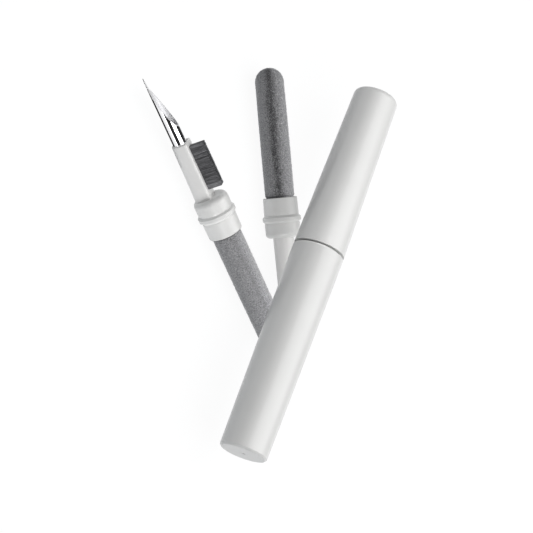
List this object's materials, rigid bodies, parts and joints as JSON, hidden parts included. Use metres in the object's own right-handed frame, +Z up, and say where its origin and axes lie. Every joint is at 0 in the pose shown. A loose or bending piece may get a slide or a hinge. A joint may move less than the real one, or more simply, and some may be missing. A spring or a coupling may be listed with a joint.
{
  "type": "lens cleaning pen",
  "caption": "Closed two-shell cleaning pen resting across two loose tools, each with a flocked sponge, a stepped collar, an arm with a side brush, and a metal scoop tip.",
  "frame": {"origin": "on the floor, under the middle of the box round the whole set", "axes": "+Y along the pen from its barrel end towards its cap end (the pen leans 1.5 degrees), +Z up from the floor, +X to the right of the pen"},
  "size_m": [0.0872, 0.1208, 0.0266],
  "materials": {
    "shell_plastic": "satin white moulded plastic",
    "collar_plastic": "satin white moulded plastic",
    "arm_plastic": "satin white moulded plastic",
    "brush_strip": "dark nylon strip",
    "bristles": "dense charcoal nylon bristles",
    "steel": "mirror polished",
    "flock": "short grey flocking on soft foam"
  },
  "bodies": {
    "cap": {"cap_shell": "shell_plastic"},
    "barrel": {"barrel_shell": "shell_plastic"},
    "stored_tool": {"stored_collar": "collar_plastic", "stored_arm": "arm_plastic", "stored_brush_base": "brush_strip", "stored_brush_bristles": "bristles", "stored_metal_scoop": "steel", "stored_sponge_stem": "collar_plastic", "stored_flocked_sponge": "flock"},
    "left_tool": {"left_collar": "collar_plastic", "left_arm": "arm_plastic", "left_brush_base": "brush_strip", "left_brush_bristles": "bristles", "left_metal_scoop": "steel", "left_sponge_stem": "collar_plastic", "left_flocked_sponge": "flock"},
    "right_tool": {"right_collar": "collar_plastic", "right_arm": "arm_plastic", "right_brush_base": "brush_strip", "right_brush_bristles": "bristles", "right_metal_scoop": "steel", "right_sponge_stem": "collar_plastic", "right_flocked_sponge": "flock"}
  },
  "joints": [
    {"name": "tool_pull", "type": "slide", "parent": "cap", "child": "stored_tool", "axis": [0, -0.9997, -0.0262], "range_m": [0, 0.05]},
    {"name": "barrel_pull", "type": "slide", "parent": "stored_tool", "child": "barrel", "axis": [0, -0.9997, -0.0262], "range_m": [0, 0.05]},
    {"name": "left_tool_slide", "type": "slide", "parent": "cap", "child": "left_tool", "axis": [-0.8554, 0.518, 0], "range_m": [0, 0.04]},
    {"name": "right_tool_slide", "type": "slide", "parent": "cap", "child": "right_tool", "axis": [-0.5461, 0.8377, 0], "range_m": [0, 0.055]}
  ]
}
